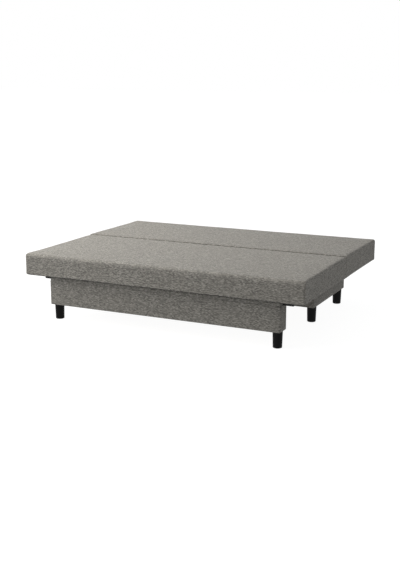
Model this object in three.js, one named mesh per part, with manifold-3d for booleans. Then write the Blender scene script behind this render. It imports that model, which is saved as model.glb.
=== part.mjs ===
// A futon sofa bed, pulled out and folded flat, as an assembly of separate pieces.
// Millimetres, +Z up, floor at z = 0. X runs along the bed, the front edge of the seat faces -Y,
// and the origin is on the floor below the middle of the bed.

import * as THREE from "three";
import { mergeVertices } from "three/addons/utils/BufferGeometryUtils.js";
import Module from "manifold-3d";

const wasm = await Module();
wasm.setup();

// ---------- driving dimensions ----------

// the two halves of the lying surface
const bedLength = 2000;
const seatDepth = 816;
const backDepth = 706;
const seamGap = 8;
const seatThickness = 153;
const backThickness = 158;
const topEdgeRadius = 30;
const bottomEdgeRadius = 14;
const endEdgeRadius = 12;

// legs
const legHeight = 109;
const legTopRadius = 32;
const legFootRadius = 29;
const legFootRounding = 5;

// apron under the seat
const apronLength = 1656;
const apronDepth = 104;
const apronSetback = 48;
const apronBoard = 18;
const apronPanel = 15;
const apronBlockLength = 64;
const apronLegInset = 33;

// base under the back
const baseLength = 1632;
const baseOverlap = 103;
const baseDepth = 664;
const baseHeight = 161;
const baseFrontHeight = 84;
const baseBoard = 20;
const beamWidth = 44;
const cornerBlockSize = 64;
const cornerBlockHeight = 78;
const baseLegInsetX = 33;
const baseLegInsetY = 53;
const stripWidth = 16;
const stripThickness = 2;

// steel frames and slats of the two halves
const tubeSize = 25;
const tubeWall = 1.5;
const seatFrameHalfLength = 897;
const seatFrameFrontInset = 90;
const seatFrameRearInset = 26;
const backFrameFrontInset = 68;
const slatCount = 5;
const slatSpacing = 300;
const slatWidth = 62;
const slatThickness = 10;
const slatDrop = 2;

// telescopic runners, and the battens that carry their moving members
const runnerHeight = 46;
const runnerDepth = 13;
const runnerWall = 1.8;
const runnerNesting = 1.2;
const runnerFrontClearance = 3;
const runnerRearClearance = 12;
const battenWidth = 22;
const runnerMargin = 3;
const battenHeight = runnerHeight + 2 * runnerMargin;
const battenOverrun = 7;

// folding hinges
const pivotInset = 42;
const pivotDrop = 42;
const hingePlate = 5;
const hingeRiserWidth = 30;
const hingeFootHeight = 21;
const hingeFootLength = 100;
const hingeBossRadius = 18;
const hingeFillet = 10;
const screwHoleRadius = 3.2;
const screwInsets = [15, 60];
const pinRadius = 5;
const pinClearance = 0.4;
const pinHeadRadius = 9;
const pinHeadThickness = 3;
const hingeWasher = 0.5;
const slotClearance = 3;

// clearances
const touchGap = 0.3;
const slideClearance = 0.5;
const parkClearance = 10;

// ---------- places worked out from them ----------

const bedWidth = seatDepth + seamGap + backDepth;
const frontEdge = -bedWidth / 2;
const rearEdge = bedWidth / 2;
const seatRear = frontEdge + seatDepth;
const backFront = seatRear + seamGap;

const apronFront = frontEdge + apronSetback;
const apronRear = apronFront + apronDepth;
const baseFront = seatRear - baseOverlap;
const baseRear = baseFront + baseDepth;
const baseInnerX = baseLength / 2 - baseBoard;
const baseInnerFront = baseFront + baseBoard;
const baseInnerRear = baseRear - baseBoard;
const baseTop = legHeight + baseHeight;
const baseFrontTop = legHeight + baseFrontHeight;
const stripTop = baseTop + touchGap + stripThickness;

const frameBottom = stripTop + slideClearance;
const frameTop = frameBottom + tubeSize;
const cushionBottom = frameTop + touchGap;
const backTop = cushionBottom + backThickness;
const apronTop = frameBottom - touchGap;

const armX = seatFrameHalfLength + touchGap;
const backPlateX = armX + hingePlate + hingeWasher;
const backFrameHalfLength = backPlateX - touchGap;
const backFrameFront = backFront + backFrameFrontInset;
const seatFrameFront = frontEdge + seatFrameFrontInset;
const pivotY = backFront + pivotInset;
const pivotZ = backTop - pivotDrop;
const footBottom = frameBottom + (tubeSize - hingeFootHeight) / 2;
const footTop = footBottom + hingeFootHeight;
const pinInnerX = armX - touchGap - pinHeadThickness;
const pinOuterX = backPlateX + hingePlate + touchGap + pinHeadThickness;

// The seat slides in until its apron or its battens are almost at the base.
const seatFrameRear = seatRear - seatFrameRearInset;
const battenRear = seatFrameRear + battenOverrun;
const seatTravel = Math.min(baseFront - apronRear, baseInnerRear - battenRear) - parkClearance;
const runnerFront = baseInnerFront + runnerFrontClearance;
const runnerRear = baseInnerRear - runnerRearClearance;
const runnerLength = runnerRear - runnerFront;
const runnerOuterX = baseInnerX - touchGap;
const movingWebX = runnerOuterX - runnerDepth - runnerNesting;
const battenOuterX = movingWebX - touchGap;
const battenTop = frameBottom - touchGap;
const battenBottom = battenTop - battenHeight;
const runnerZ = (battenTop + battenBottom) / 2;

// ---------- finishes ----------

const finishes = {
  melangeCloth: { color: 0x9e9b94, roughness: 0.95, metalness: 0 },
  wrappedBoard: { color: 0x6d6c68, roughness: 0.95, metalness: 0 },
  blackLeg: { color: 0x161616, roughness: 0.45, metalness: 0 },
  rawTimber: { color: 0xc9ab7c, roughness: 0.7, metalness: 0 },
  birchSlat: { color: 0xd8bf94, roughness: 0.6, metalness: 0 },
  blackSteel: { color: 0x1c1d1f, roughness: 0.5, metalness: 0.6 },
  zincSteel: { color: 0xa9acaf, roughness: 0.35, metalness: 0.9 },
  blackFelt: { color: 0x2a2a2a, roughness: 0.9, metalness: 0 },
};

const sofaBed = new THREE.Group();
const ends = { left: -1, right: 1 };

function addPiece(name, geometry, finish, x = 0, y = 0, z = 0) {
  const mesh = new THREE.Mesh(geometry, new THREE.MeshStandardMaterial(finishes[finish]));
  mesh.name = name;
  mesh.position.set(x, y, z);
  sofaBed.add(mesh);
}

// ---------- shape helpers ----------

// A block between two corners.
function block(low, high) {
  const size = low.map((value, axis) => high[axis] - value);
  const middle = low.map((value, axis) => (high[axis] + value) / 2);
  return new THREE.BoxGeometry(...size).translate(...middle);
}

// A block at one end of the bed. Its x values are distances from the middle.
function endBlock(end, low, high) {
  const reach = [low[0] * end, high[0] * end];
  return block([Math.min(...reach), low[1], low[2]], [Math.max(...reach), high[1], high[2]]);
}

// An outline drawn in (y, z), extruded along x from x0.
function extrudeAlongX(outline, x0, length, bevel = { bevelEnabled: false }) {
  const geometry = new THREE.ExtrudeGeometry(outline, { depth: length, curveSegments: 8, ...bevel });
  geometry.rotateX(Math.PI / 2);
  geometry.rotateZ(Math.PI / 2);
  return geometry.translate(x0, 0, 0);
}

// An outline drawn in (x, z), extruded along y from y0.
function extrudeAlongY(outline, y0, length) {
  const geometry = new THREE.ExtrudeGeometry(outline, { depth: length, bevelEnabled: false });
  geometry.rotateX(Math.PI / 2);
  return geometry.translate(0, y0 + length, 0);
}

// A plate in the (y, z) plane at one end of the bed. nearX is its face towards the middle.
function endPlate(end, outline, nearX, thickness) {
  const x0 = end > 0 ? nearX : -nearX - thickness;
  return extrudeAlongX(outline, x0, thickness);
}

function square(across, up, half) {
  return [[-half, -half], [half, -half], [half, half], [-half, half]]
    .map(([a, b]) => new THREE.Vector2(across + a, up + b));
}

// Section of a square tube around its middle.
function tubeSection(across, up) {
  const section = new THREE.Shape(square(across, up, tubeSize / 2));
  section.holes.push(new THREE.Path(square(across, up, tubeSize / 2 - tubeWall)));
  return section;
}

// The same surface with its corners merged, ready for joining and cutting.
function toSolid(geometry) {
  const bare = new THREE.BufferGeometry();
  bare.setAttribute("position", geometry.getAttribute("position"));
  bare.setIndex(geometry.index);
  const merged = mergeVertices(bare, 1e-4);
  return new wasm.Manifold(new wasm.Mesh({
    numProp: 3,
    vertProperties: new Float32Array(merged.attributes.position.array),
    triVerts: new Uint32Array(merged.index.array),
  }));
}

function fromSolid(solid) {
  const mesh = solid.getMesh();
  const geometry = new THREE.BufferGeometry();
  geometry.setAttribute("position", new THREE.BufferAttribute(mesh.vertProperties, 3));
  geometry.setIndex(new THREE.BufferAttribute(mesh.triVerts, 1));
  return geometry;
}

// ---------- cushions ----------

// Side outline of a cushion, softer at its upper edges.
function cushionOutline(yFront, yRear, thickness) {
  const [bottom, top] = [cushionBottom, cushionBottom + thickness];
  const [soft, firm] = [topEdgeRadius, bottomEdgeRadius];
  const outline = new THREE.Shape();
  outline.moveTo(yFront + firm, bottom);
  outline.absarc(yRear - firm, bottom + firm, firm, -Math.PI / 2, 0, false);
  outline.absarc(yRear - soft, top - soft, soft, 0, Math.PI / 2, false);
  outline.absarc(yFront + soft, top - soft, soft, Math.PI / 2, Math.PI, false);
  outline.absarc(yFront + firm, bottom + firm, firm, Math.PI, Math.PI * 1.5, false);
  return outline;
}

function cushion(yFront, yRear, thickness) {
  const rounding = {
    bevelEnabled: true,
    bevelThickness: endEdgeRadius,
    bevelSize: endEdgeRadius,
    bevelOffset: -endEdgeRadius,
    bevelSegments: 4,
  };
  const straight = bedLength - 2 * endEdgeRadius;
  return extrudeAlongX(cushionOutline(yFront, yRear, thickness), -straight / 2, straight, rounding);
}

// The room in the back cushion for one hinge, open towards the seam and downwards.
function hingeSlot(end) {
  const radius = hingeBossRadius + slotClearance;
  const lift = hingeRiserWidth / 2;
  const rear = pivotY + hingeRiserWidth / 2 + hingeFillet + slotClearance;
  const outline = new THREE.Shape();
  outline.moveTo(backFront - slotClearance, cushionBottom - slotClearance);
  outline.lineTo(rear, cushionBottom - slotClearance);
  outline.lineTo(rear, footTop + hingeFillet + slotClearance);
  outline.absarc(pivotY, pivotZ, radius, 0, Math.PI - Math.asin(lift / radius), false);
  outline.lineTo(backFront - slotClearance, pivotZ + lift);
  const nearX = pinInnerX - slotClearance;
  const width = pinOuterX - pinInnerX + 2 * slotClearance;
  return endPlate(end, outline, nearX, width);
}

function addCushions() {
  addPiece("seat_cushion", cushion(frontEdge, seatRear, seatThickness), "melangeCloth");
  let back = toSolid(cushion(backFront, rearEdge, backThickness));
  for (const end of Object.values(ends)) {
    back = back.subtract(toSolid(hingeSlot(end)));
  }
  addPiece("back_cushion", fromSolid(back), "melangeCloth");
}

// ---------- frames and slats ----------

// Two side tubes with a front and a rear tube between them.
function addFrame(half, halfLength, yFront, yRear) {
  const middleZ = frameBottom + tubeSize / 2;
  for (const [name, end] of Object.entries(ends)) {
    const section = tubeSection(end * (halfLength - tubeSize / 2), middleZ);
    addPiece(`${half}_tube_${name}`, extrudeAlongY(section, yFront, yRear - yFront), "blackSteel");
  }
  const reach = halfLength - tubeSize - touchGap;
  const rows = { front: yFront + tubeSize / 2, rear: yRear - tubeSize / 2 };
  for (const [name, middleY] of Object.entries(rows)) {
    const tube = extrudeAlongX(tubeSection(middleY, middleZ), -reach, 2 * reach);
    addPiece(`${half}_tube_${name}`, tube, "blackSteel");
  }
}

function addSlats(half, yFront, yRear) {
  const top = frameTop - slatDrop;
  const y0 = yFront + tubeSize + touchGap;
  const y1 = yRear - tubeSize - touchGap;
  for (let i = 0; i < slatCount; i += 1) {
    const x = (i - (slatCount - 1) / 2) * slatSpacing;
    const low = [x - slatWidth / 2, y0, top - slatThickness];
    addPiece(`${half}_slat_${i + 1}`, block(low, [x + slatWidth / 2, y1, top]), "birchSlat");
  }
}

// ---------- apron and base ----------

function addApron() {
  const reach = apronLength / 2;
  const innerFront = apronFront + apronBoard + touchGap;
  const innerRear = apronRear - apronBoard - touchGap;
  const faces = { front: [apronFront, apronFront + apronBoard], rear: [apronRear - apronBoard, apronRear] };
  for (const [name, [y0, y1]] of Object.entries(faces)) {
    addPiece(`apron_${name}_board`, block([-reach, y0, legHeight], [reach, y1, apronTop]), "wrappedBoard");
  }
  for (const [name, end] of Object.entries(ends)) {
    const low = [reach - apronBlockLength, innerFront, legHeight];
    addPiece(`apron_${name}_block`, endBlock(end, low, [reach, innerRear, apronTop]), "rawTimber");
  }
  const inner = reach - apronBlockLength - touchGap;
  const panels = { bottom: [legHeight, legHeight + apronPanel], top: [apronTop - apronPanel, apronTop] };
  for (const [name, [z0, z1]] of Object.entries(panels)) {
    addPiece(`apron_${name}_board`, block([-inner, innerFront, z0], [inner, innerRear, z1]), "wrappedBoard");
  }
}

function addBaseBoards() {
  const outer = baseLength / 2;
  for (const [name, end] of Object.entries(ends)) {
    const board = endBlock(end, [baseInnerX, baseFront, legHeight], [outer, baseRear, baseTop]);
    addPiece(`base_${name}_board`, board, "wrappedBoard");
  }
  const reach = baseInnerX - touchGap;
  const front = block([-reach, baseFront, legHeight], [reach, baseInnerFront, baseFrontTop]);
  addPiece("base_front_board", front, "wrappedBoard");
  const rear = block([-reach, baseInnerRear, legHeight], [reach, baseRear, baseTop]);
  addPiece("base_rear_board", rear, "wrappedBoard");
  const beamLow = [-beamWidth / 2, baseFront, baseFrontTop + touchGap];
  const beamHigh = [beamWidth / 2, baseInnerRear - touchGap, baseTop];
  addPiece("base_centre_beam", block(beamLow, beamHigh), "rawTimber");
}

// Blocks in the corners of the base that the leg bolts screw into.
function addCornerBlocks() {
  const farX = baseInnerX - touchGap;
  const nearX = farX - cornerBlockSize;
  const rows = { front: baseInnerFront + touchGap, rear: baseInnerRear - touchGap - cornerBlockSize };
  for (const [row, y0] of Object.entries(rows)) {
    for (const [name, end] of Object.entries(ends)) {
      const high = [farX, y0 + cornerBlockSize, legHeight + cornerBlockHeight];
      addPiece(`base_block_${row}_${name}`, endBlock(end, [nearX, y0, legHeight], high), "rawTimber");
    }
  }
}

// Felt strips on the base that the steel frames rest and slide on.
function addWearStrips() {
  const [z0, z1] = [baseTop + touchGap, stripTop];
  const margin = (baseBoard - stripWidth) / 2;
  const y0 = baseFront + margin;
  const y1 = baseInnerRear - touchGap;
  for (const [name, end] of Object.entries(ends)) {
    const strip = endBlock(end, [baseInnerX + margin, y0, z0], [baseInnerX + margin + stripWidth, y1, z1]);
    addPiece(`wear_strip_${name}`, strip, "blackFelt");
  }
  const centre = block([-stripWidth / 2, y0, z0], [stripWidth / 2, y1 - touchGap, z1]);
  addPiece("wear_strip_centre", centre, "blackFelt");
  const reach = baseInnerX - touchGap;
  const rearY = baseInnerRear + margin;
  addPiece("wear_strip_rear", block([-reach, rearY, z0], [reach, rearY + stripWidth, z1]), "blackFelt");
}

// ---------- legs ----------

// A turned leg that tapers downwards, with a rounded foot.
function leg() {
  const outline = new THREE.Path();
  outline.moveTo(0, 0);
  outline.lineTo(legFootRadius - legFootRounding, 0);
  outline.absarc(legFootRadius - legFootRounding, legFootRounding, legFootRounding, -Math.PI / 2, 0, false);
  outline.lineTo(legTopRadius, legHeight - touchGap);
  outline.lineTo(0, legHeight - touchGap);
  return new THREE.LatheGeometry(outline.getPoints(2), 32).rotateX(Math.PI / 2);
}

function addLegs() {
  const baseX = baseLength / 2 - baseLegInsetX;
  const rows = { front: baseFront + baseLegInsetY, rear: baseRear - baseLegInsetY };
  for (const [name, end] of Object.entries(ends)) {
    const apronX = end * (apronLength / 2 - apronLegInset);
    addPiece(`apron_leg_${name}`, leg(), "blackLeg", apronX, apronFront + apronDepth / 2);
    for (const [row, y] of Object.entries(rows)) {
      addPiece(`base_leg_${row}_${name}`, leg(), "blackLeg", end * baseX, y);
    }
  }
}

// ---------- runners ----------

// Section of a C-shaped member. opening is the x direction its mouth faces.
function channelSection(webX, opening, depth, halfHeight) {
  const tip = webX + opening * depth;
  const wall = webX + opening * runnerWall;
  const inner = halfHeight - runnerWall;
  const points = [
    [webX, -halfHeight], [tip, -halfHeight], [tip, -inner], [wall, -inner],
    [wall, inner], [tip, inner], [tip, halfHeight], [webX, halfHeight],
  ];
  return new THREE.Shape(points.map(([x, z]) => new THREE.Vector2(x, runnerZ + z)));
}

function addRunners() {
  const step = runnerWall + runnerNesting;
  const fullHalf = runnerHeight / 2;
  for (const [name, end] of Object.entries(ends)) {
    const fixed = channelSection(end * runnerOuterX, -end, runnerDepth, fullHalf);
    addPiece(`runner_fixed_${name}`, extrudeAlongY(fixed, runnerFront, runnerLength), "zincSteel");
    const middleX = runnerOuterX - step;
    const middle = channelSection(end * middleX, -end, runnerDepth - step, fullHalf - step);
    const middleY = runnerFront - seatTravel / 2;
    addPiece(`runner_middle_${name}`, extrudeAlongY(middle, middleY, runnerLength), "zincSteel");
    const movingDepth = middleX - step - movingWebX;
    const moving = channelSection(end * movingWebX, end, movingDepth, fullHalf - 2 * step);
    const movingY = runnerFront - seatTravel;
    addPiece(`runner_moving_${name}`, extrudeAlongY(moving, movingY, runnerLength), "zincSteel");
  }
}

function addBattens() {
  const y0 = apronRear + touchGap;
  for (const [name, end] of Object.entries(ends)) {
    const low = [battenOuterX - battenWidth, y0, battenBottom];
    const high = [battenOuterX, battenRear, battenTop];
    addPiece(`seat_batten_${name}`, endBlock(end, low, high), "rawTimber");
  }
}

// ---------- folding hinges ----------

// A foot along a frame tube, and a riser from below the cushion up to the pivot.
// reach is the y direction the foot runs in, and footEnd is where it stops.
// Holes run round the opposite way to the outline.
function hingeOutline(reach, footEnd) {
  const half = hingeRiserWidth / 2;
  const bossAngle = Math.acos(half / hingeBossRadius);
  const near = pivotY - reach * half;
  const corner = pivotY + reach * half;
  const outline = new THREE.Shape();
  outline.moveTo(footEnd, footBottom);
  outline.lineTo(near, footBottom);
  if (reach < 0) {
    outline.absarc(pivotY, pivotZ, hingeBossRadius, -bossAngle, Math.PI + bossAngle, false);
  } else {
    outline.absarc(pivotY, pivotZ, hingeBossRadius, Math.PI + bossAngle, -bossAngle, true);
  }
  outline.lineTo(corner, footTop + hingeFillet);
  outline.lineTo(corner + reach * hingeFillet, footTop);
  outline.lineTo(footEnd, footTop);
  const addHole = (y, z, radius) => {
    outline.holes.push(new THREE.Path().absarc(y, z, radius, 0, Math.PI * 2, reach < 0));
  };
  addHole(pivotY, pivotZ, pinRadius + pinClearance);
  for (const inset of screwInsets) {
    addHole(footEnd - reach * inset, (footBottom + footTop) / 2, screwHoleRadius);
  }
  return outline;
}

// A headed pin along x, from the foot of its profile at x = 0.
function pin() {
  const length = pinOuterX - pinInnerX;
  const outline = [
    [0, 0], [pinHeadRadius, 0], [pinHeadRadius, pinHeadThickness], [pinRadius, pinHeadThickness],
    [pinRadius, length - pinHeadThickness], [pinHeadRadius, length - pinHeadThickness],
    [pinHeadRadius, length], [0, length],
  ].map(([radius, along]) => new THREE.Vector2(radius, along));
  return new THREE.LatheGeometry(outline, 24).rotateZ(-Math.PI / 2);
}

function addHinges() {
  const armFoot = seatFrameRear - hingeFootLength;
  const plateFoot = backFrameFront + hingeFootLength;
  for (const [name, end] of Object.entries(ends)) {
    const arm = endPlate(end, hingeOutline(-1, armFoot), armX, hingePlate);
    addPiece(`hinge_arm_${name}`, arm, "blackSteel");
    const plate = endPlate(end, hingeOutline(1, plateFoot), backPlateX, hingePlate);
    addPiece(`hinge_plate_${name}`, plate, "blackSteel");
    const pinX = end > 0 ? pinInnerX : -pinOuterX;
    addPiece(`hinge_pin_${name}`, pin(), "zincSteel", pinX, pivotY, pivotZ);
  }
}

// ---------- the whole sofa bed ----------

addCushions();
addFrame("seat", seatFrameHalfLength, seatFrameFront, seatFrameRear);
addSlats("seat", seatFrameFront, seatFrameRear);
addFrame("back", backFrameHalfLength, backFrameFront, baseRear);
addSlats("back", backFrameFront, baseRear);
addApron();
addBaseBoards();
addCornerBlocks();
addWearStrips();
addLegs();
addRunners();
addBattens();
addHinges();

export default sofaBed;
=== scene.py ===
import itertools
import math
import bmesh
import bpy
import numpy as np
from mathutils import Matrix, Vector, noise


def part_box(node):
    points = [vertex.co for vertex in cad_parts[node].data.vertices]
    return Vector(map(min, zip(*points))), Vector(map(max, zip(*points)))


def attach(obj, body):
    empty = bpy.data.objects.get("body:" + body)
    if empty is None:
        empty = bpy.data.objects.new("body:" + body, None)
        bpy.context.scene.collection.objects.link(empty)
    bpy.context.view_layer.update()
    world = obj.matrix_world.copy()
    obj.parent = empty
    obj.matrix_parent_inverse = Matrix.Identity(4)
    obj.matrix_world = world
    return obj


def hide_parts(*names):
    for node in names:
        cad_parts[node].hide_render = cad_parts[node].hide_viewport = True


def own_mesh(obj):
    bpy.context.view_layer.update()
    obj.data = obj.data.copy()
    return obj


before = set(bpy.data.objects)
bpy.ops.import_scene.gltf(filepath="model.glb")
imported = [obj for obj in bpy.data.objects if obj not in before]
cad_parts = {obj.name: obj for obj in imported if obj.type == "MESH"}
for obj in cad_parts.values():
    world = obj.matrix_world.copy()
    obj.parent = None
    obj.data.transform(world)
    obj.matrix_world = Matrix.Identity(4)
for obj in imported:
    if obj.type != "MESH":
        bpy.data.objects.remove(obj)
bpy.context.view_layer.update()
scene = bpy.context.scene
sideSigns = {"left": -1, "right": 1}

cameraView = {
    "place": (2.7284, -5.7554, 1.6573),
    "lookDown": 13.111,
    "turn": 25.792,
    "lens": 58.346,
    "sensor": 36.0,
}

studio = {
    "skyForCamera": 1.0,
    "skyForLight": 0.42,
    "floorSize": 120.0,
    "floorShade": 0.13,
    "floorGlow": 0.945,
    "lights": {
        "overheadSoftbox": {
            "place": (-2.6, -0.7, 3.2),
            "aim": (-0.2, 0, 0.3),
            "size": (3.8, 3.6),
            "power": 191.0,
            "tint": (1.0, 0.975, 0.935),
        },
        "frontSoftbox": {
            "place": (-3.0, -3.9, 1.65),
            "aim": (-0.4, -0.6, 0.3),
            "size": (2.2, 1.8),
            "power": 63.0,
            "tint": (0.985, 0.99, 1.0),
        },
    },
}


def addCamera(view):
    lens = bpy.data.cameras.new("studioCamera")
    lens.lens = view["lens"]
    lens.sensor_width = view["sensor"]
    camera = bpy.data.objects.new("studioCamera", lens)
    camera.location = view["place"]
    camera.rotation_euler = (math.radians(90 - view["lookDown"]), 0, math.radians(view["turn"]))
    scene.collection.objects.link(camera)
    scene.camera = camera


def addLights(looks):
    for name, look in looks.items():
        lamp = bpy.data.lights.new(name, "AREA")
        lamp.shape = "RECTANGLE"
        lamp.size, lamp.size_y = look["size"]
        lamp.energy = look["power"]
        lamp.color = look["tint"]
        holder = bpy.data.objects.new(name, lamp)
        holder.location = look["place"]
        aim = Vector(look["aim"]) - holder.location
        holder.rotation_euler = aim.to_track_quat("-Z", "Y").to_euler()
        scene.collection.objects.link(holder)


def addSky(look):
    world = bpy.data.worlds.new("paleStudio")
    world.use_nodes = True
    scene.world = world
    tree = world.node_tree
    lit = tree.nodes["Background"]
    lit.inputs["Strength"].default_value = look["skyForLight"]
    lit.inputs["Color"].default_value = (1, 1, 1, 1)
    seen = addNode(tree, "ShaderNodeBackground", {"Color": (1, 1, 1, 1), "Strength": look["skyForCamera"]})
    path = addNode(tree, "ShaderNodeLightPath")
    mixed = addNode(tree, "ShaderNodeMixShader", {0: path.outputs["Is Camera Ray"]})
    tree.links.new(lit.outputs[0], mixed.inputs[1])
    tree.links.new(seen.outputs[0], mixed.inputs[2])
    tree.links.new(mixed.outputs[0], tree.nodes["World Output"].inputs["Surface"])


def addFloor(look):
    bm = bmesh.new()
    bmesh.ops.create_grid(bm, x_segments=1, y_segments=1, size=look["floorSize"] / 2)
    floor = placeMesh("studioFloor", bm, floorPaint(look["floorShade"], look["floorGlow"], floorLook))
    floor.visible_diffuse = False  # the pale floor throws no light back up
    floor.visible_glossy = False


def addNode(tree, kind, inputs=None, **settings):
    made = tree.nodes.new(kind)
    for key, value in settings.items():
        setattr(made, key, value)
    for key, value in (inputs or {}).items():
        if isinstance(value, bpy.types.NodeSocket):
            tree.links.new(value, made.inputs[key])
        else:
            made.inputs[key].default_value = value
    return made


# what a value of a look is called on the shader
shaderSockets = {
    "roughness": "Roughness",
    "metallic": "Metallic",
    "specular": "Specular IOR Level",
    "sheen": "Sheen Weight",
    "sheenRoughness": "Sheen Roughness",
    "coat": "Coat Weight",
    "coatRoughness": "Coat Roughness",
}


def startMaterial(name, look):
    material = bpy.data.materials.new(name)
    material.use_nodes = True
    tree = material.node_tree
    shader = tree.nodes["Principled BSDF"]
    for key, socket in shaderSockets.items():
        if key in look:
            shader.inputs[socket].default_value = look[key]
    return material, tree, shader


def maths(tree, operation, first, second=0.0):
    return addNode(tree, "ShaderNodeMath", {0: first, 1: second}, operation=operation).outputs[0]


# two heights or shades added, each by its own share
def blended(tree, first, firstShare, second, secondShare):
    parts = [maths(tree, "MULTIPLY", *part) for part in ((first, firstShare), (second, secondShare))]
    return maths(tree, "ADD", *parts)


# each stop is its place from 0 to 1 and its colour
def ramp(tree, factor, *stops):
    made = addNode(tree, "ShaderNodeValToRGB", {"Fac": factor})
    band = made.color_ramp
    while len(band.elements) < len(stops):
        band.elements.new(0.5)
    for element, (place, colour) in zip(band.elements, stops):
        element.position = place
        element.color = (*colour, 1)
    return made.outputs["Color"]


# sockets 0, 6 and 7 of the node are its factor and its two colours, and output 2 is the colour
def mixColours(tree, factor, first, second):
    made = addNode(tree, "ShaderNodeMix", data_type="RGBA")
    for key, value in ((0, factor), (6, first), (7, second)):
        if isinstance(value, bpy.types.NodeSocket):
            tree.links.new(value, made.inputs[key])
        else:
            made.inputs[key].default_value = (*value, 1) if key else value
    return made.outputs[2]


def stretched(tree, source, scale):
    return addNode(tree, "ShaderNodeMapping", {"Vector": source, "Scale": scale}).outputs[0]


def grain(tree, vector, scale, detail=2.0, roughness=0.5):
    sockets = {"Vector": vector, "Scale": scale, "Detail": detail, "Roughness": roughness}
    return addNode(tree, "ShaderNodeTexNoise", sockets).outputs["Fac"]


def addBump(tree, shader, height, distance, strength=1.0):
    sockets = {"Height": height, "Distance": distance, "Strength": strength}
    bump = addNode(tree, "ShaderNodeBump", sockets)
    tree.links.new(bump.outputs["Normal"], shader.inputs["Normal"])


def objectPlace(tree):
    return addNode(tree, "ShaderNodeTexCoord").outputs["Object"]


def placeMesh(name, bm, *materials):
    mesh = bpy.data.meshes.new(name)
    bm.to_mesh(mesh)
    bm.free()
    for material in materials:
        mesh.materials.append(material)
    piece = bpy.data.objects.new(name, mesh)
    scene.collection.objects.link(piece)
    return piece


# edges that turn by more than this many degrees stay sharp
sharpFrom = {"cloth": 50, "hard": 35}


def smoothShade(piece, sharpDegrees):
    piece.data.shade_smooth()
    piece.data.set_sharp_from_angle(angle=math.radians(sharpDegrees))


def blockAt(bm, low, high):
    made = bmesh.ops.create_cube(bm, size=1)["verts"]
    size = Vector(high) - Vector(low)
    bmesh.ops.scale(bm, vec=size, verts=made)
    bmesh.ops.translate(bm, vec=(Vector(low) + Vector(high)) / 2, verts=made)
    return made


def softenEdges(bm, edges, width, segments=2):
    bmesh.ops.bevel(bm, geom=edges, offset=width, offset_type="OFFSET", segments=segments, profile=0.5,
                    affect="EDGES", material=-1, clamp_overlap=True)


def keepModifiers(piece):
    bpy.context.view_layer.update()
    shown = piece.evaluated_get(bpy.context.evaluated_depsgraph_get())
    mesh = bpy.data.meshes.new_from_object(shown)
    piece.modifiers.clear()
    old = piece.data
    piece.data = mesh
    bpy.data.meshes.remove(old)
    mesh.name = piece.name


# a piece rides on its body, and may stand for nodes that then aren't shown
def finishPiece(piece, body, slot, *nodes):
    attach(piece, body)
    if nodes:
        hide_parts(*nodes)
    return piece


floorLook = {"roughness": 0.9, "driftSize": 0.4, "drift": 0.02}


def floorPaint(shade, glow, look):
    material, tree, shader = startMaterial("paleFloor", look)
    shader.inputs["Emission Color"].default_value = (1, 1, 1, 1)
    shader.inputs["Emission Strength"].default_value = glow
    drift = grain(tree, objectPlace(tree), look["driftSize"])
    paint = ramp(tree, drift, (0.3, (shade,) * 3), (0.7, (shade + look["drift"],) * 3))
    tree.links.new(paint, shader.inputs["Base Color"])
    return material


clothLook = {
    "roughness": 0.93,
    "specular": 0.18,
    "sheen": 0.22,
    "sheenRoughness": 0.55,
    "yarnPitch": 0.0026,
    "slubCrossings": 4.5,
    "rowSpread": 17.0,
    "pillowPower": 0.6,
    "cloudScale": (90, 330, 1),
    "yarnShare": 0.45,
    "cloudShare": 0.62,
    "dark": (0.044, 0.043, 0.040),
    "middle": (0.190, 0.183, 0.166),
    "pale": (0.500, 0.480, 0.430),
    "blotchSize": 2.6,
    "blotchShare": 0.5,
    "brownShift": (0.205, 0.190, 0.165),
    "pillowHeight": 0.35,
    "yarnHeight": 1.0,
    "bump": (0.0011, 0.9),
}


def melangeCloth(look):
    material, tree, shader = startMaterial("melangeCloth", look)
    flat = addNode(tree, "ShaderNodeUVMap", uv_map="clothMap").outputs[0]
    yarns = 1 / look["yarnPitch"]
    crossings = stretched(tree, flat, (yarns, yarns, 1))
    parts = addNode(tree, "ShaderNodeSeparateXYZ", {0: crossings})
    along, across = parts.outputs[0], parts.outputs[1]
    # each crossing of the plain weave is a small pillow
    ridges = []
    for part in (along, across):
        wave = maths(tree, "SINE", maths(tree, "MULTIPLY", part, math.pi))
        ridges.append(maths(tree, "POWER", maths(tree, "ABSOLUTE", wave), look["pillowPower"]))
    pillow = maths(tree, "MULTIPLY", *ridges)
    # slub yarn: every row changes its shade every few crossings
    row = maths(tree, "FLOOR", across)
    rowShift = addNode(tree, "ShaderNodeTexWhiteNoise", {"W": row}, noise_dimensions="1D")
    shift = maths(tree, "MULTIPLY", rowShift.outputs["Value"], look["rowSpread"])
    run = maths(tree, "FLOOR", maths(tree, "ADD", maths(tree, "DIVIDE", along, look["slubCrossings"]), shift))
    cell = addNode(tree, "ShaderNodeCombineXYZ", {0: run, 1: row}).outputs[0]
    yarn = addNode(tree, "ShaderNodeTexWhiteNoise", {"Vector": cell}, noise_dimensions="2D")
    cloudy = grain(tree, stretched(tree, flat, look["cloudScale"]), 1.0, 3.0, 0.7)
    shade = blended(tree, yarn.outputs["Value"], look["yarnShare"], cloudy, look["cloudShare"])
    colour = ramp(tree, shade, (0.22, look["dark"]), (0.52, look["middle"]), (0.86, look["pale"]))
    blotch = maths(tree, "MULTIPLY", grain(tree, flat, look["blotchSize"]), look["blotchShare"])
    tree.links.new(mixColours(tree, blotch, colour, look["brownShift"]), shader.inputs["Base Color"])
    height = blended(tree, pillow, look["pillowHeight"], shade, look["yarnHeight"])
    addBump(tree, shader, height, *look["bump"])
    return material


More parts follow.
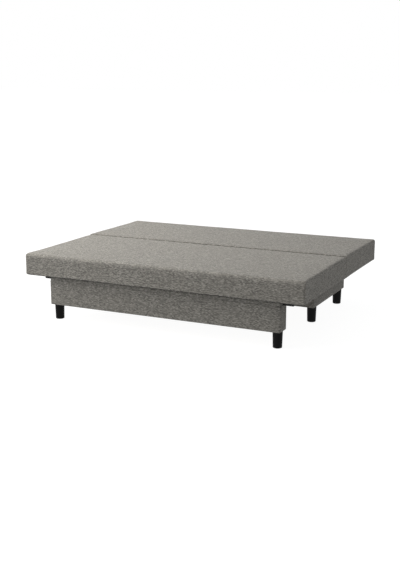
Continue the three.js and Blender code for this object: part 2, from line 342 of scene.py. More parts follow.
underLook = {
    "roughness": 0.95,
    "specular": 0.15,
    "fibreScale": (500, 170, 300),
    "dotSize": 330.0,
    "dotUnevenness": 0.15,
    "dark": (0.016, 0.016, 0.016),
    "pale": (0.046, 0.045, 0.044),
    "bump": (0.0004, 0.7),
}


def undersideCloth(look):
    material, tree, shader = startMaterial("undersideCloth", look)
    place = objectPlace(tree)
    fibre = grain(tree, stretched(tree, place, look["fibreScale"]), 1.0, 4.0, 0.7)
    pattern = {"Vector": place, "Scale": look["dotSize"], "Randomness": look["dotUnevenness"]}
    dots = addNode(tree, "ShaderNodeTexVoronoi", pattern)
    colour = ramp(tree, fibre, (0.3, look["dark"]), (0.75, look["pale"]))
    tree.links.new(colour, shader.inputs["Base Color"])
    addBump(tree, shader, maths(tree, "ADD", dots.outputs["Distance"], fibre), *look["bump"])
    return material


pineLook = {
    "roughness": 0.62,
    "specular": 0.35,
    "ringScale": (1.6, 22, 22),
    "ringCount": 7.0,
    "fibreScale": (14, 420, 420),
    "ringShare": 0.55,
    "fibreShare": 0.45,
    "pale": (0.68, 0.50, 0.30),
    "deep": (0.50, 0.33, 0.17),
    "ringHeight": 0.3,
    "bump": (0.0004, 0.5),
}


# turn is the rotation that brings the length of the grain on to X
def pineTimber(name, turn, look):
    material, tree, shader = startMaterial(name, look)
    turned = addNode(tree, "ShaderNodeMapping", {"Vector": objectPlace(tree), "Rotation": turn}).outputs[0]
    rings = grain(tree, stretched(tree, turned, look["ringScale"]), 1.0, 4.0, 0.55)
    fibre = grain(tree, stretched(tree, turned, look["fibreScale"]), 1.0, 3.0, 0.6)
    lines = maths(tree, "FRACT", maths(tree, "MULTIPLY", rings, look["ringCount"]))
    tone = blended(tree, lines, look["ringShare"], fibre, look["fibreShare"])
    tree.links.new(ramp(tree, tone, (0.15, look["pale"]), (0.85, look["deep"])), shader.inputs["Base Color"])
    addBump(tree, shader, blended(tree, fibre, 1.0, lines, look["ringHeight"]), *look["bump"])
    return material


slatLook = {
    "roughness": 0.42,
    "specular": 0.4,
    "coat": 0.15,
    "coatRoughness": 0.3,
    "fibreScale": (260, 5, 260),
    "figureScale": (16, 1.2, 16),
    "fibreShare": 0.4,
    "figureShare": 0.6,
    "faceDark": (0.66, 0.50, 0.31),
    "facePale": (0.80, 0.66, 0.45),
    "veneer": 0.0028,
    "edgeDark": (0.36, 0.22, 0.11),
    "edgePale": (0.72, 0.56, 0.36),
    "flatAbove": 0.6,
    "bump": (0.0002, 0.4),
}


# moulded birch: smooth faces, and the veneers show as stripes on the edges
def birchSlat(look):
    material, tree, shader = startMaterial("birchSlat", look)
    place = objectPlace(tree)
    fibre = grain(tree, stretched(tree, place, look["fibreScale"]), 1.0, 4.0, 0.6)
    figure = grain(tree, stretched(tree, place, look["figureScale"]), 1.0, 3.0)
    tone = blended(tree, fibre, look["fibreShare"], figure, look["figureShare"])
    face = ramp(tree, tone, (0.3, look["faceDark"]), (0.7, look["facePale"]))
    height = addNode(tree, "ShaderNodeSeparateXYZ", {0: place}).outputs[2]
    layers = maths(tree, "SINE", maths(tree, "MULTIPLY", height, 2 * math.pi / look["veneer"]))
    stripes = maths(tree, "MULTIPLY_ADD", layers, 0.5)  # the value added is the node's own 0.5
    edge = ramp(tree, stripes, (0.35, look["edgeDark"]), (0.65, look["edgePale"]))
    facing = addNode(tree, "ShaderNodeNewGeometry").outputs["Normal"]
    upward = addNode(tree, "ShaderNodeSeparateXYZ", {0: facing}).outputs[2]
    flatFace = maths(tree, "GREATER_THAN", maths(tree, "ABSOLUTE", upward), look["flatAbove"])
    tree.links.new(mixColours(tree, flatFace, edge, face), shader.inputs["Base Color"])
    addBump(tree, shader, fibre, *look["bump"])
    return material


steelLook = {
    "specular": 0.5,
    "peelSize": 900.0,
    "driftSize": 14.0,
    "dark": (0.012, 0.012, 0.013),
    "pale": (0.024, 0.024, 0.026),
    "gloss": (0.38, 0.54),
    "bump": (0.0003, 0.4),
}


def blackSteel(look):
    material, tree, shader = startMaterial("blackSteel", look)
    place = objectPlace(tree)
    peel = grain(tree, place, look["peelSize"])
    drift = grain(tree, place, look["driftSize"], 3.0)
    tree.links.new(ramp(tree, drift, (0.3, look["dark"]), (0.8, look["pale"])), shader.inputs["Base Color"])
    varyGloss(tree, shader, drift, look["gloss"])
    addBump(tree, shader, peel, *look["bump"])
    return material


def varyGloss(tree, shader, tone, gloss):
    smooth, rough = ((value,) * 3 for value in gloss)
    tree.links.new(ramp(tree, tone, (0.2, smooth), (0.8, rough)), shader.inputs["Roughness"])


zincLook = {
    "metallic": 1.0,
    "rolledScale": (700, 9, 700),
    "spangleSize": 60.0,
    "rolledShare": 0.5,
    "spangleShare": 0.5,
    "dark": (0.42, 0.43, 0.45),
    "pale": (0.62, 0.63, 0.66),
    "gloss": (0.28, 0.46),
    "bump": (0.0001, 0.4),
}


def zincSteel(look):
    material, tree, shader = startMaterial("zincSteel", look)
    place = objectPlace(tree)
    rolled = grain(tree, stretched(tree, place, look["rolledScale"]), 1.0, 3.0, 0.6)
    spangle = grain(tree, place, look["spangleSize"], 3.0)
    tone = blended(tree, rolled, look["rolledShare"], spangle, look["spangleShare"])
    tree.links.new(ramp(tree, tone, (0.3, look["dark"]), (0.7, look["pale"])), shader.inputs["Base Color"])
    varyGloss(tree, shader, rolled, look["gloss"])
    addBump(tree, shader, rolled, *look["bump"])
    return material


feltLook = {
    "roughness": 1.0,
    "specular": 0.1,
    "sheen": 0.3,
    "fuzzSize": 700.0,
    "dark": (0.008, 0.008, 0.009),
    "pale": (0.045, 0.045, 0.048),
    "bump": (0.001, 0.8),
}


def blackFelt(look):
    material, tree, shader = startMaterial("blackFelt", look)
    fuzz = grain(tree, objectPlace(tree), look["fuzzSize"], 5.0, 0.8)
    tree.links.new(ramp(tree, fuzz, (0.3, look["dark"]), (0.75, look["pale"])), shader.inputs["Base Color"])
    addBump(tree, shader, fuzz, *look["bump"])
    return material


stainLook = {
    "specular": 0.2,
    "fibreScale": (330, 330, 12),
    "figureScale": (60, 60, 5),
    "fibreShare": 0.5,
    "figureShare": 0.5,
    "dark": (0.002, 0.002, 0.002),
    "pale": (0.006, 0.0058, 0.0055),
    "gloss": (0.30, 0.48),
    "bump": (0.00025, 0.5),
}


def blackLegStain(look):
    material, tree, shader = startMaterial("blackLegStain", look)
    place = objectPlace(tree)
    fibre = grain(tree, stretched(tree, place, look["fibreScale"]), 1.0, 4.0, 0.6)
    figure = grain(tree, stretched(tree, place, look["figureScale"]), 1.0)
    tone = blended(tree, fibre, look["fibreShare"], figure, look["figureShare"])
    tree.links.new(ramp(tree, tone, (0.3, look["dark"]), (0.75, look["pale"])), shader.inputs["Base Color"])
    varyGloss(tree, shader, fibre, look["gloss"])
    addBump(tree, shader, fibre, *look["bump"])
    return material


plasticLook = {
    "roughness": 0.5,
    "specular": 0.45,
    "sparkSize": 1400.0,
    "driftSize": 30.0,
    "dark": (0.014, 0.014, 0.015),
    "pale": (0.022, 0.022, 0.023),
    "bump": (0.0002, 0.5),
}


def mouldedPlastic(look):
    material, tree, shader = startMaterial("mouldedPlastic", look)
    place = objectPlace(tree)
    spark = grain(tree, place, look["sparkSize"])
    drift = grain(tree, place, look["driftSize"])
    tree.links.new(ramp(tree, drift, (0.3, look["dark"]), (0.7, look["pale"])), shader.inputs["Base Color"])
    addBump(tree, shader, spark, *look["bump"])
    return material


cloth = melangeCloth(clothLook)
underCloth = undersideCloth(underLook)
pineAlongX = pineTimber("pineAlongX", (0, 0, 0), pineLook)
pineAlongY = pineTimber("pineAlongY", (0, 0, math.pi / 2), pineLook)
pineUpright = pineTimber("pineUpright", (0, math.pi / 2, 0), pineLook)
slatWood = birchSlat(slatLook)
steel = blackSteel(steelLook)
zinc = zincSteel(zincLook)
felt = blackFelt(feltLook)
legStain = blackLegStain(stainLook)
plastic = mouldedPlastic(plasticLook)
print("materials made")


padLook = {
    "spacing": 0.014,
    "shrink": 0.0005,
    "lift": 0.0015,
    "towardsSeam": 0.0036,
    "frontEdge": 0.025,
    "rearEdge": 0.011,
    "endEdge": 0.010,
    "corner": 0.009,
    "seamEdge": 0.002,
    "bottomEdge": 0.014,
    "bottomLoop": 0.005,
    # how far up the lower round the black lining reaches: beyond the underside it is painted shade under the
    # pad
    "liningAndShadeTurn": 0.6,
    "rimRise": 0.006,
    "rimReach": 0.08,
    "seamCrease": 0.75,
    "pullIn": 0.002,
    "pressure": 4.0,
    "frames": 20,
    "cap": 0.004,
    "heldUnder": 0.004,
    "heldAtSeam": 0.002,
    "freeAfter": 0.03,
    "ripple": 0.0007,
    "rippleSize": 0.22,
    "fill": 0.9,
    "pressedByBack": 0.991,
}

pads = {
    "seat_pad": {"node": "seat_cushion", "body": "seat", "seamSide": 1},
    "back_pad": {"node": "back_cushion", "body": "back", "seamSide": -1},
}

# axis and direction of each side of a box
boxSides = {
    "left": (0, -1),
    "right": (0, 1),
    "front": (1, -1),
    "rear": (1, 1),
    "bottom": (2, -1),
    "top": (2, 1),
}


def gridBox(low, high, spacing):
    bm = bmesh.new()
    blockAt(bm, low, high)
    for axis in range(3):
        edges = [e for e in bm.edges if abs((e.verts[1].co - e.verts[0].co)[axis]) > 1e-6]
        cuts = round((high[axis] - low[axis]) / spacing) - 1
        bmesh.ops.subdivide_edges(bm, edges=edges, cuts=cuts, use_grid_fill=True)
    return bm


def seamDistance(point, low, high, seamSide):
    return high.y - point.y if seamSide > 0 else point.y - low.y


def edgeRadius(pair, seamName, look):
    if "bottom" in pair:
        return look["bottomEdge"]
    if seamName in pair:
        return look["seamEdge"]
    if "top" not in pair:
        return look["corner"]
    if "front" in pair:
        return look["frontEdge"]
    return look["rearEdge"] if "rear" in pair else look["endEdge"]


# moves a point of the sharp box on to the round of one edge; a and b are its depths below the two faces
def roundShift(a, b, radius):
    if max(a, b) >= radius:
        return 0.0, 0.0
    turn = math.radians(45) * (1 - max(a, b) / radius)
    near, far = radius * (1 - math.cos(turn)), radius * (1 - math.sin(turn))
    return (near - a, far - b) if a < b else (far - a, near - b)


def roundEdges(bm, low, high, seamSide, look):
    seamName = "rear" if seamSide > 0 else "front"
    pairs = [(a, b) for a, b in itertools.combinations(boxSides, 2) if boxSides[a][0] != boxSides[b][0]]
    radii = {pair: edgeRadius(pair, seamName, look) for pair in pairs}
    for v in bm.verts:
        depth = {name: (high[axis] - v.co[axis]) if sign > 0 else (v.co[axis] - low[axis])
                 for name, (axis, sign) in boxSides.items()}
        move = Vector()
        for pair in pairs:
            for name, shift in zip(pair, roundShift(depth[pair[0]], depth[pair[1]], radii[pair])):
                axis, sign = boxSides[name]
                move[axis] -= sign * shift
        v.co += move


def creaseSeamEdges(bm, low, high, seamSide, look):
    crease = bm.edges.layers.float.new("crease_edge")
    for e in bm.edges:
        onSeam = all(seamDistance(v.co, low, high, seamSide) < 1e-5 for v in e.verts)
        if onSeam and any(abs(f.normal.y) < 0.5 for f in e.link_faces):
            e[crease] = look["seamCrease"]


def pullSidesIn(bm, low, high, seamSide, depth):
    middle, half = (low + high) / 2, (high - low) / 2
    for v in bm.verts:
        x, y = (v.co.x - middle.x) / half.x, (v.co.y - middle.y) / half.y
        v.co.x -= depth * x * abs(x) * (1 - y * y)
        if y * seamSide < 0:
            v.co.y -= depth * y * abs(y) * (1 - x * x)


# outside the steel frame nothing holds the underside down, so its rim rises a little
def liftRim(bm, low, high, seamSide, look):
    for v in bm.verts:
        outer = v.co.y - low.y if seamSide > 0 else high.y - v.co.y
        inwards = max(min(v.co.x - low.x, high.x - v.co.x, outer), 0)
        share = max(1 - inwards / look["rimReach"], 0)
        above = (high.z - v.co.z) / (high.z - low.z)
        v.co.z += look["rimRise"] * share * share * (3 - 2 * share) * above ** 3


# how free a point is to swell: not at all on the underside and on the face at the seam
def freeShare(point, low, high, seamSide, look):
    up = (point.z - low.z - look["heldUnder"]) / look["freeAfter"]
    out = (seamDistance(point, low, high, seamSide) - look["heldAtSeam"]) / look["freeAfter"]
    return min(max(up, 0), 1) * min(max(out, 0), 1)


def swell(piece, low, high, seamSide, look):
    start = [v.co.copy() for v in piece.data.vertices]
    free = [freeShare(p, low, high, seamSide, look) for p in start]
    held = piece.vertex_groups.new(name="held")
    held.add([i for i, share in enumerate(free) if share == 0], 1.0, "REPLACE")
    fabric = piece.modifiers.new("fabric", "CLOTH")
    fabric.settings.use_pressure = True
    fabric.settings.uniform_pressure_force = look["pressure"]
    fabric.settings.effector_weights.gravity = 0
    fabric.settings.vertex_group_mass = "held"
    fabric.point_cache.frame_end = look["frames"]
    for step in range(1, look["frames"] + 1):
        scene.frame_set(step)
    shown = piece.evaluated_get(bpy.context.evaluated_depsgraph_get())
    swollen = [v.co.copy() for v in shown.data.vertices]
    piece.modifiers.clear()
    piece.vertex_groups.clear()
    scene.frame_set(1)
    largest = max((after - before).length for before, after in zip(start, swollen))
    print(f"{piece.name}: swelled {largest * 1000:.0f} mm before the cap")
    for v, before, after, share in zip(piece.data.vertices, start, swollen, free):
        move = after - before
        if move.length > 1e-9:
            capped = look["cap"] * math.tanh(move.length / look["cap"])
            v.co = before + move.normalized() * capped * share


# very low, broad unevenness of the filling
def ripple(piece, low, high, seamSide, look):
    normals = [v.normal.copy() for v in piece.data.vertices]
    for v, normal in zip(piece.data.vertices, normals):
        wave = noise.noise(v.co / look["rippleSize"]) + 0.5 * noise.noise(v.co / (look["rippleSize"] * 0.4))
        v.co += normal * wave * look["ripple"] * freeShare(v.co, low, high, seamSide, look)


# one map unit is a metre of cloth. On a cushion one width of cloth covers front, top and rear, and each
# end is a panel of its own. On a board the cloth goes round the sides
def mapCloth(mesh, low, high, isCushion):
    count = len(mesh.loops)
    corner = np.empty(count, np.int32)
    mesh.loops.foreach_get("vertex_index", corner)
    place = np.empty(len(mesh.vertices) * 3)
    mesh.vertices.foreach_get("co", place)
    place = place.reshape(-1, 3)[corner]
    facing = np.empty(len(mesh.polygons) * 3)
    mesh.polygons.foreach_get("normal", facing)
    sizes = np.empty(len(mesh.polygons), np.int32)
    mesh.polygons.foreach_get("loop_total", sizes)
    facing = np.repeat(facing.reshape(-1, 3), sizes, axis=0)
    x, y, z = place.T
    steep = np.abs(facing)
    isEnd = (steep[:, 0] > steep[:, 1]) & (steep[:, 0] > steep[:, 2])
    isFlat = ~isEnd & (steep[:, 2] >= steep[:, 1])
    drop = high.z - z
    if isCushion:
        u = np.where(isEnd, y + np.sign(x) * mapShift["end"], x)
        v = np.where(isEnd, drop, np.where(isFlat, y, y + np.sign(facing[:, 1]) * drop))
    else:
        rearwards = np.where(facing[:, 1] > 0.5, mapShift["rear"], 0.0)
        u = np.where(isEnd, np.sign(x) * (high.x + y - low.y), x + rearwards)
        v = np.where(isFlat, y, z)
    layer = mesh.uv_layers.new(name="clothMap")
    layer.data.foreach_set("uv", np.column_stack([u, v]).ravel())


# other sides take their cloth from another part of the roll, this many metres on
mapShift = {"end": 7.0, "rear": 3.0}


# the black lining of the underside is real; it is also carried up on to the round of the lower edges as
# painted shade, a dark band where the shadow under the pad falls
def lineUndersideAndShade(piece, look):
    for face in piece.data.polygons:
        face.material_index = 1 if face.normal.z < -look["liningAndShadeTurn"] else 0


hingeRoom = {"gap": 0.003, "rearRoom": 0.012, "rounding": 0.016, "roundSteps": 6, "openBy": 0.02}


# takes the same room for the hinges out of the pad as its solid has
def cutHingeRoom(piece, node, look):
    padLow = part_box(node)[0]
    for side in sideSigns:
        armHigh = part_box(f"hinge_arm_{side}")[1]
        pinLow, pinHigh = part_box(f"hinge_pin_{side}")
        low = Vector((pinLow.x - look["gap"], padLow.y - look["openBy"], padLow.z - look["openBy"]))
        rear = max(armHigh.y, pinHigh.y) + look["rearRoom"]
        high = Vector((pinHigh.x + look["gap"], rear, armHigh.z + look["gap"]))
        bm = bmesh.new()
        blockAt(bm, low, high)
        top = [e for e in bm.edges if all(v.co.z > high.z - 1e-6 and v.co.y > high.y - 1e-6 for v in e.verts)]
        softenEdges(bm, top, look["rounding"], look["roundSteps"])
        cutter = placeMesh("hingeRoom", bm)
        cut = piece.modifiers.new("hingeRoom", "BOOLEAN")
        cut.operation = "DIFFERENCE"
        cut.solver = "EXACT"
        cut.object = cutter
        keepModifiers(piece)
        bpy.data.objects.remove(cutter)


def makePad(name, place, look):
    cadLow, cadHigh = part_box(place["node"])
    seamSide = place["seamSide"]
    shrink, nearer = look["shrink"], look["towardsSeam"]
    low = cadLow + Vector((shrink, shrink if seamSide > 0 else -nearer, 0))
    high = cadHigh - Vector((shrink, shrink if seamSide < 0 else -nearer, -look["lift"]))
    bm = gridBox(low, high, look["spacing"])
    cutBandAt(bm, 2, [low.z + look["bottomLoop"]])
    creaseSeamEdges(bm, low, high, seamSide, look)
    roundEdges(bm, low, high, seamSide, look)
    pullSidesIn(bm, low, high, seamSide, look["pullIn"])
    liftRim(bm, low, high, seamSide, look)
    piece = placeMesh(name, bm, cloth, underCloth)
    swell(piece, low, high, seamSide, look)
    ripple(piece, low, high, seamSide, look)
    finer = piece.modifiers.new("finer", "SUBSURF")
    finer.levels = finer.render_levels = 1
    keepModifiers(piece)
    if place["node"] == "back_cushion":
        cutHingeRoom(piece, place["node"], hingeRoom)
    # real black lining underneath, carried up the lower round as painted shade
    lineUndersideAndShade(piece, look)
    mapCloth(piece.data, low, high, True)
    smoothShade(piece, sharpFrom["cloth"])
    finishPiece(piece, place["body"], "cushion_cloth", place["node"])
    if place["node"] == "seat_cushion":  # the seat pad gets its own copy of its mesh; the foot of the raised back presses into it, but no dent is made here
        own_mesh(piece)
    print(f"{name}: {len(piece.data.polygons)} faces")


coverLook = {
    "gap": 0.0002,
    "thickness": 0.0012,
    "cornerRadius": 0.004,
    "cornerSteps": 4,
    "turnUnder": 0.018,
    "turnOver": 0.038,
    "tubeRoom": 0.002,
    "unevenness": 0.0006,
    "unevenPerMetre": 5.0,
    "columns": 24,
    "rows": 5,
    "stripColumns": 40,
    "stripInset": 0.0008,
    "stripRounding": 0.002,
}


def nodesBox(names):
    boxes = [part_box(n) for n in names]
    low = Vector([min(b[0][i] for b in boxes) for i in range(3)])
    high = Vector([max(b[1][i] for b in boxes) for i in range(3)])
    return low, high


# a band of cloth round four sides, turned under along the bottom and, on the apron, over the top
def coverBand(low, high, look, overTop):
    out = look["gap"] + look["thickness"]
    top = high.z + (out if overTop else -look["gap"])
    bm = bmesh.new()
    blockAt(bm, (low.x - out, low.y - out, low.z - out), (high.x + out, high.y + out, top))
    under, over = ([f for f in bm.faces if f.normal.z * sign > 0.9] for sign in (-1, 1))
    bmesh.ops.inset_individual(bm, faces=under, thickness=look["turnUnder"], use_even_offset=True)
    if overTop:
        bmesh.ops.inset_individual(bm, faces=over, thickness=look["turnOver"], use_even_offset=True)
    bmesh.ops.delete(bm, geom=under + over, context="FACES_ONLY")
    bmesh.ops.delete(bm, geom=[e for e in bm.edges if not e.link_faces], context="EDGES")
    sharp = [e for e in bm.edges if len(e.link_faces) == 2 and e.calc_face_angle(0) > 0.5]
    softenEdges(bm, sharp, look["cornerRadius"], look["cornerSteps"])
    return bm


def cutBandAt(bm, axis, places):
    normal = Vector([float(i == axis) for i in range(3)])
    for place in places:
        bmesh.ops.bisect_plane(bm, geom=bm.verts[:] + bm.edges[:] + bm.faces[:], plane_co=normal * place,
                               plane_no=normal)


def evenSteps(first, last, count):
    return [first + (last - first) * i / count for i in range(1, count)]


# the cloth isn't dead flat on its board
def settleCloth(bm, look):
    bm.normal_update()
    for v in bm.verts:
        if abs(v.normal.y) > 0.95:
            share = 0.5 + 0.5 * noise.noise(v.co * look["unevenPerMetre"])
            v.co.y += math.copysign(look["unevenness"] * share, v.normal.y)


def finishCover(name, bm, low, high, body, look):
    piece = placeMesh(name, bm, cloth)
    wall = piece.modifiers.new("wall", "SOLIDIFY")
    wall.thickness = look["thickness"]
    wall.offset = -1
    keepModifiers(piece)
    mapCloth(piece.data, low, high, False)
    smoothShade(piece, sharpFrom["cloth"])
    finishPiece(piece, body, "cushion_cloth")
    print(f"{name}: {len(piece.data.polygons)} faces")


def makeApronCover(look):
    parts = ("front_board", "rear_board", "top_board", "bottom_board", "left_block", "right_block")
    low, high = nodesBox([f"apron_{part}" for part in parts])
    bm = coverBand(low, high, look, True)
    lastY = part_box("seat_tube_front")[0].y - look["tubeRoom"]  # no cloth on top under the tube
    cutBandAt(bm, 1, [lastY])
    underTube = [f for f in bm.faces if f.normal.z > 0.9 and f.calc_center_median().y > lastY]
    bmesh.ops.delete(bm, geom=underTube, context="FACES")
    cutBandAt(bm, 0, evenSteps(low.x, high.x, look["columns"]))
    cutBandAt(bm, 2, evenSteps(low.z, high.z, look["rows"]))
    settleCloth(bm, look)
    finishCover("apron_cover", bm, low, high, "seat", look)


def makeBaseCover(look):
    low, high = nodesBox([f"base_{part}_board" for part in ("front", "rear", "left", "right")])
    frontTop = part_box("base_front_board")[1].z
    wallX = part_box("base_right_board")[0].x
    bm = coverBand(low, high, look, False)
    cutBandAt(bm, 2, [frontTop])
    cutBandAt(bm, 0, [-wallX, wallX])
    centres = {f: f.calc_center_median() for f in bm.faces}
    opening = [f for f, c in centres.items() if c.y < low.y and c.z > frontTop and abs(c.x) < wallX]
    bmesh.ops.delete(bm, geom=opening, context="FACES")
    cutBandAt(bm, 0, evenSteps(low.x, high.x, look["columns"]))
    settleCloth(bm, look)
    finishCover("base_cover", bm, low, high, "base", look)


# a strip covered in the same cloth closes the gap between the apron and the seat, in front of the tube
def makeApronStrip(look):
    tubeLow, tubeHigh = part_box("seat_tube_front")
    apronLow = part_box("apron_front_board")[0]
    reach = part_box("apron_right_block")[1].x - look["stripInset"]
    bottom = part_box("apron_top_board")[1].z + look["gap"] * 2 + look["thickness"]
    low = Vector((-reach, apronLow.y + look["stripInset"], bottom))
    high = Vector((reach, tubeLow.y - look["gap"], tubeHigh.z - look["gap"]))
    bm = bmesh.new()
    blockAt(bm, low, high)
    softenEdges(bm, bm.edges[:], look["stripRounding"], 3)
    cutBandAt(bm, 0, evenSteps(-reach, reach, look["stripColumns"]))
    piece = placeMesh("apron_top_strip", bm, cloth)
    mapCloth(piece.data, low, high, False)
    smoothShade(piece, sharpFrom["cloth"])
    finishPiece(piece, "seat", "cushion_cloth")


stapleLook = {"length": 0.010, "wire": 0.0012, "spacing": 0.05, "inset": 0.6, "edge": 0.3}


# staples hold the turned-in cloth to the bottom of the boards
def makeStaples(name, nodes, body, look):
    low, high = nodesBox(nodes)
    under = low.z - coverLook["gap"] - coverLook["thickness"]
    inset = coverLook["turnUnder"] * look["inset"]
    size = Vector((look["length"], look["wire"], look["wire"]))
    bm = bmesh.new()
    for y in (low.y + inset, high.y - inset):
        for x in staplePlaces(low.x + 2 * inset, high.x - 2 * inset, look["spacing"]):
            addStaple(bm, Vector((x, y, under)), size, look)
    for x in (low.x + inset, high.x - inset):
        for y in staplePlaces(low.y + 2 * inset, high.y - 2 * inset, look["spacing"]):
            addStaple(bm, Vector((x, y, under)), size.yxz, look)
    piece = placeMesh(name, bm, zinc)
    finishPiece(piece, body, "zinc_steel")


def staplePlaces(first, last, spacing):
    count = max(int((last - first) / spacing), 1)
    return [first + (last - first) * i / count for i in range(count + 1)]


def addStaple(bm, place, size, look):
    made = blockAt(bm, place - size / 2, place + size / 2)
    edges = list({e for v in made for e in v.link_edges})
    softenEdges(bm, edges, size.z * look["edge"], 1)


holderLook = {"wall": 0.0016, "floor": 0.0024, "side": 0.0034, "depth": 0.024, "rounding": 0.0012}


# moulded caps that hold the slat ends against the tubes
def makeSlatHolders(half, look):
    bm = bmesh.new()
    for name in [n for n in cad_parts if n.startswith(f"{half}_slat_")]:
        low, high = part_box(name)
        for end in (-1, 1):
            addSlatHolder(bm, low, high, end, look)
    piece = placeMesh(f"{half}_slat_holders", bm, plastic)
    smoothShade(piece, sharpFrom["hard"])
    finishPiece(piece, half, "black_steel")


def addSlatHolder(bm, low, high, end, look):
    outer = high.y if end > 0 else low.y
    inner = outer - end * look["depth"]
    bottom = Vector((low.x - look["side"], min(outer, inner), low.z - look["floor"]))
    top = Vector((high.x + look["side"], max(outer, inner), high.z + look["wall"]))
    made = blockAt(bm, bottom, top)
    faces = {f for v in made for f in v.link_faces}
    mouth = next(f for f in faces if f.normal.y * end < -0.9)
    long = [e for e in {e for f in faces for e in f.edges} if e not in mouth.edges[:]]
    bmesh.ops.inset_individual(bm, faces=[mouth], thickness=look["wall"], use_even_offset=True)
    pocket = bmesh.ops.extrude_discrete_faces(bm, faces=[mouth])["faces"]
    bmesh.ops.translate(bm, vec=(0, end * (look["depth"] - look["wall"]), 0), verts=pocket[0].verts[:])
    softenEdges(bm, long, look["rounding"], 2)


tubeLook = {
    "plug": 0.0022,
    "plugInset": 0.0004,
    "plugRounding": 0.0012,
    "bead": 0.0024,
    "beadProud": 0.00042,
    "beadBelowTop": 0.0004,
    "beadRounding": 0.0005,
}


# plugs in the tube ends and weld beads where the cross tubes meet the side tubes
def makeTubeDetails(half, look):
    plugs, beads = bmesh.new(), bmesh.new()
    for side, sign in sideSigns.items():
        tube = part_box(f"{half}_tube_{side}")
        for end in (-1, 1):
            addPlug(plugs, *tube, end, look)
        inner = tube[1].x if sign < 0 else tube[0].x
        for row in ("front", "rear"):
            addWeldBead(beads, *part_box(f"{half}_tube_{row}"), inner, sign, look)
    for name, bm, paint in ((f"{half}_tube_plugs", plugs, plastic), (f"{half}_frame_welds", beads, steel)):
        piece = placeMesh(name, bm, paint)
        smoothShade(piece, sharpFrom["hard"])
        finishPiece(piece, half, "black_steel")


def addPlug(bm, low, high, end, look):
    tubeEnd = high.y if end > 0 else low.y
    face = tubeEnd + end * look["plug"]
    near, far = sorted((tubeEnd, face))
    inset = look["plugInset"]
    made = blockAt(bm, (low.x + inset, near, low.z + inset), (high.x - inset, far, high.z - inset))
    edges = {e for v in made for e in v.link_edges}
    outer = [e for e in edges if all(abs(v.co.y - face) < 1e-6 for v in e.verts)]
    softenEdges(bm, outer, look["plugRounding"], 2)


def addWeldBead(bm, low, high, inner, sign, look):
    near, far = sorted((inner, inner - sign * look["bead"]))
    proud = look["beadProud"]
    bottom = (near, low.y - proud, low.z - proud)
    top = (far, high.y + proud, high.z - look["beadBelowTop"])
    made = blockAt(bm, bottom, top)
    softenEdges(bm, list({e for v in made for e in v.link_edges}), look["beadRounding"], 2)


screwLook = {
    "radius": 0.0058,
    "height": 0.0026,
    "crown": (0.55, 1.0),
    "shoulder": (0.85, 0.7),
    "rim": 0.3,
    "socket": 0.0022,
    "socketDepth": 0.0014,
    "inset": (0.015, 0.060),
    "steps": 24,
}


# low domed screws through the feet of the hinges
def makeHingeScrews(kind, body, look):
    bm = bmesh.new()
    tubeLow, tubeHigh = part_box("seat_tube_front")
    for side, sign in sideSigns.items():
        low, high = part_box(f"hinge_{kind}_{side}")
        outer = high.x if sign > 0 else low.x
        footEnd, reach = (low.y, 1) if kind == "arm" else (high.y, -1)
        for inset in look["inset"]:
            place = Vector((outer, footEnd + reach * inset, (tubeLow.z + tubeHigh.z) / 2))
            addScrewHead(bm, place, sign, look)
    piece = placeMesh(f"hinge_{kind}_screws", bm, zinc)
    smoothShade(piece, sharpFrom["hard"])
    finishPiece(piece, body, "zinc_steel")


def addScrewHead(bm, place, sign, look):
    radius, height, socket = look["radius"], look["height"], look["socket"]
    bottom = height - look["socketDepth"]
    dome = [(radius * out, 0, height * up) for out, up in (look["crown"], look["shoulder"], (1, look["rim"]))]
    profile = [(0, 0, bottom), (socket, 0, bottom), (socket, 0, height), *dome, (radius, 0, 0), (0, 0, 0)]
    head = bmesh.new()
    spinProfile(head, profile, look["steps"])
    turn = Matrix.Rotation(math.copysign(math.pi / 2, sign), 4, "Y")
    bmesh.ops.transform(head, matrix=Matrix.Translation(place) @ turn, verts=head.verts[:])
    part = bpy.data.meshes.new("screwHead")
    head.to_mesh(part)
    head.free()
    bm.from_mesh(part)
    bpy.data.meshes.remove(part)


legLook = {
    "taper": 0.003,
    "footRounding": 0.0045,
    "topChamfer": 0.0012,
    "steps": 48,
    "glideRadius": 0.011,
    "glideHeight": 0.0012,
    "glideRounding": 0.0008,
    "glideSunk": 0.001,
    "glideSteps": 24,
}


# a full turn about Z of a profile that starts and ends on the axis
def spinProfile(bm, points, steps):
    made = [bm.verts.new(p) for p in points]
    edges = [bm.edges.new(pair) for pair in zip(made, made[1:])]
    bmesh.ops.spin(bm, geom=made + edges, cent=(0, 0, 0), axis=(0, 0, 1), angle=2 * math.pi, steps=steps,
                   use_merge=True, dvec=(0, 0, 0))
    bmesh.ops.remove_doubles(bm, verts=bm.verts[:], dist=1e-6)
    bmesh.ops.recalc_face_normals(bm, faces=bm.faces[:])


def arcPoints(centre, radius, first, last, count):
    turns = [math.radians(first + (last - first) * i / count) for i in range(count + 1)]
    return [(centre[0] + radius * math.cos(t), 0, centre[1] + radius * math.sin(t)) for t in turns]


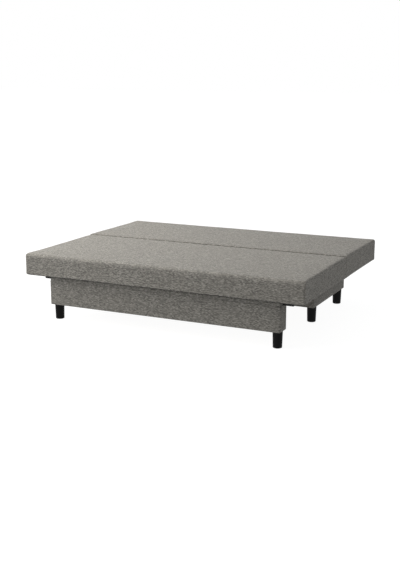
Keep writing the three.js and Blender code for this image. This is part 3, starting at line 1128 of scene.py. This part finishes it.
def makeLeg(node, body, look):
    low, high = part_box(node)
    centre = (low + high) / 2
    lift, rounding, chamfer = look["glideHeight"], look["footRounding"], look["topChamfer"]
    top = (high.x - low.x) / 2
    foot = top - look["taper"]
    profile = [(0, 0, lift), *arcPoints((foot - rounding, lift + rounding), rounding, -90, 0, 6)]
    profile += [(top, 0, high.z - chamfer), (top - chamfer, 0, high.z), (0, 0, high.z)]
    addTurned(node + "_turned", profile, centre, look["steps"], legStain, body, node)
    radius, rounding, glideTop = look["glideRadius"], look["glideRounding"], lift + look["glideSunk"]
    profile = [(0, 0, 0), *arcPoints((radius - rounding, rounding), rounding, -90, 0, 3)]
    profile += [(radius, 0, glideTop), (0, 0, glideTop)]
    addTurned(node + "_glide", profile, centre, look["glideSteps"], plastic, body)


def addTurned(name, profile, centre, steps, paint, body, *nodes):
    bm = bmesh.new()
    spinProfile(bm, profile, steps)
    bmesh.ops.translate(bm, vec=(centre.x, centre.y, 0), verts=bm.verts[:])
    piece = placeMesh(name, bm, paint)
    smoothShade(piece, sharpFrom["hard"])
    finishPiece(piece, body, "black_leg", *nodes)


def paintNodes():
    rules = [
        (("tube", "hinge_arm", "hinge_plate"), steel),
        (("runner", "hinge_pin"), zinc),
        (("wear_strip",), felt),
        (("slat",), slatWood),
        (("left_board", "right_board", "batten", "centre_beam"), pineAlongY),
        (("block",), pineUpright),
        (("board",), pineAlongX),
        (("leg",), legStain),
        (("cushion",), cloth),
    ]
    for name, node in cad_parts.items():
        finish = next(material for words, material in rules if any(w in name for w in words))
        for slot in node.material_slots:
            slot.material = finish
    print(f"{len(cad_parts)} nodes painted")


scene.view_settings.view_transform = "Standard"
addCamera(cameraView)
addSky(studio)
addLights(studio["lights"])
addFloor(studio)
paintNodes()
for padName, padPlace in pads.items():
    makePad(padName, padPlace, padLook)
makeApronCover(coverLook)
makeBaseCover(coverLook)
makeApronStrip(coverLook)
apronSides = ["apron_front_board", "apron_rear_board", "apron_left_block", "apron_right_block"]
makeStaples("apron_staples", apronSides, "seat", stapleLook)
baseSides = ["base_front_board", "base_rear_board", "base_left_board", "base_right_board"]
makeStaples("base_staples", baseSides, "base", stapleLook)
for halfName in ("seat", "back"):
    makeSlatHolders(halfName, holderLook)
    makeTubeDetails(halfName, tubeLook)
makeHingeScrews("arm", "seat", screwLook)
makeHingeScrews("plate", "back", screwLook)
print("cloth covers, holders, plugs and screws made")
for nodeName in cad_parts:
    if "_leg_" in nodeName:
        makeLeg(nodeName, "seat" if nodeName.startswith("apron") else "base", legLook)
print("legs turned")
